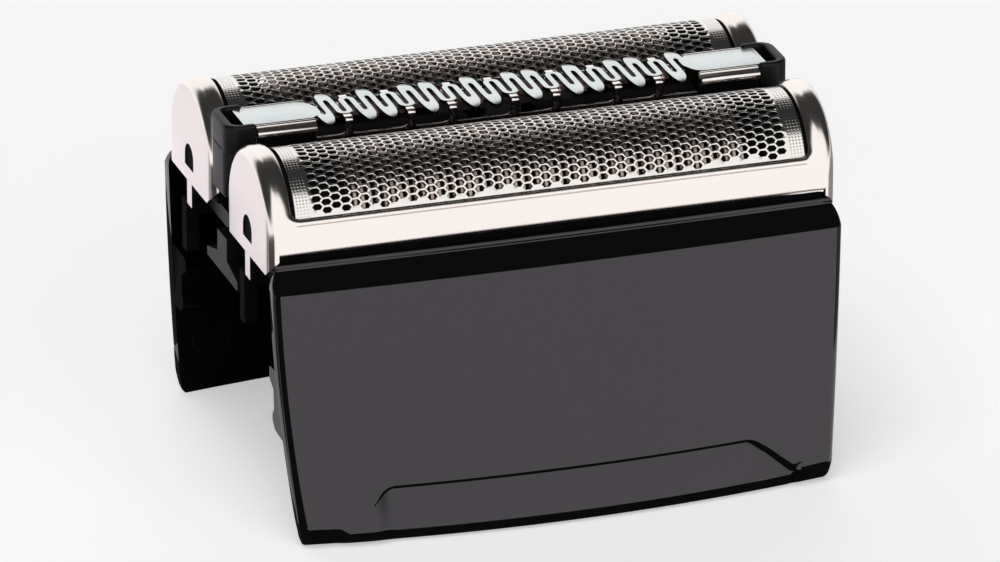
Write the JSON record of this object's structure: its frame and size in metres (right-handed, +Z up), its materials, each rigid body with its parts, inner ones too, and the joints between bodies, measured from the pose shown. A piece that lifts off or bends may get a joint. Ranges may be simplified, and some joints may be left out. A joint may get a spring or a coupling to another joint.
{
  "type": "shaver foil head",
  "caption": "Clip-on shaver head with arched perforated foils that float on springs, a serpentine trimmer comb between them, sliding cutters inside and glossy flared skirt covers.",
  "frame": {"origin": "middle of the bounding box at the level of the covers' lower edges, where the head stands", "axes": "+X along the foils to the right, -Y towards the front cover, +Z up to the foils"},
  "size_m": [0.0486, 0.04, 0.0312],
  "materials": {
    "gloss_black": "high gloss moulding",
    "matte_black": "fine satin moulding",
    "bright_steel": "polished drawn sheet",
    "foil_steel": "electroformed satin sheet",
    "comb_steel": "fine ground flat",
    "blade_steel": "ground edge",
    "spring_bronze": "drawn wire and strip",
    "inner_plastic": "satin moulding"
  },
  "bodies": {
    "base": {"chassis": "matte_black", "front_cover": "gloss_black", "rear_cover": "gloss_black", "trimmer_left_spring": "spring_bronze", "trimmer_right_spring": "spring_bronze", "front_left_leaf_spring": "spring_bronze", "front_right_leaf_spring": "spring_bronze", "rear_left_leaf_spring": "spring_bronze", "rear_right_leaf_spring": "spring_bronze"},
    "front_head": {"front_foil_frame": "bright_steel", "front_foil": "foil_steel", "front_foil_carrier": "matte_black"},
    "rear_head": {"rear_foil_frame": "bright_steel", "rear_foil": "foil_steel", "rear_foil_carrier": "matte_black"},
    "front_cutter": {"front_cutter_blades": "blade_steel", "front_cutter_holder": "inner_plastic"},
    "rear_cutter": {"rear_cutter_blades": "blade_steel", "rear_cutter_holder": "inner_plastic"},
    "trimmer": {"trimmer_body": "matte_black", "trimmer_comb": "comb_steel", "trimmer_clips": "bright_steel", "trimmer_left_saddle": "bright_steel", "trimmer_right_saddle": "bright_steel"},
    "trimmer_cutter": {"trimmer_blade": "blade_steel", "trimmer_drive_shoe": "inner_plastic"}
  },
  "joints": [
    {"name": "front_foil_float", "type": "slide", "parent": "base", "child": "front_head", "axis": [0, 0, -1], "range_m": [0, 0.0012], "stiffness_N_per_m": 600, "springref_m": -0.002, "deforming": ["front_left_leaf_spring", "front_right_leaf_spring"]},
    {"name": "rear_foil_float", "type": "slide", "parent": "base", "child": "rear_head", "axis": [0, 0, -1], "range_m": [0, 0.0012], "stiffness_N_per_m": 600, "springref_m": -0.002, "deforming": ["rear_left_leaf_spring", "rear_right_leaf_spring"]},
    {"name": "trimmer_float", "type": "slide", "parent": "base", "child": "trimmer", "axis": [0, 0, -1], "range_m": [0, 0.0012], "stiffness_N_per_m": 400, "springref_m": -0.002, "deforming": ["trimmer_left_spring", "trimmer_right_spring"]},
    {"name": "front_cutter_slide", "type": "slide", "parent": "front_head", "child": "front_cutter", "axis": [1, 0, 0], "range_m": [-0.0012, 0.0012]},
    {"name": "rear_cutter_slide", "type": "slide", "parent": "rear_head", "child": "rear_cutter", "axis": [1, 0, 0], "range_m": [-0.0012, 0.0012]},
    {"name": "trimmer_blade_slide", "type": "slide", "parent": "trimmer", "child": "trimmer_cutter", "axis": [1, 0, 0], "range_m": [-0.001, 0.001]}
  ]
}
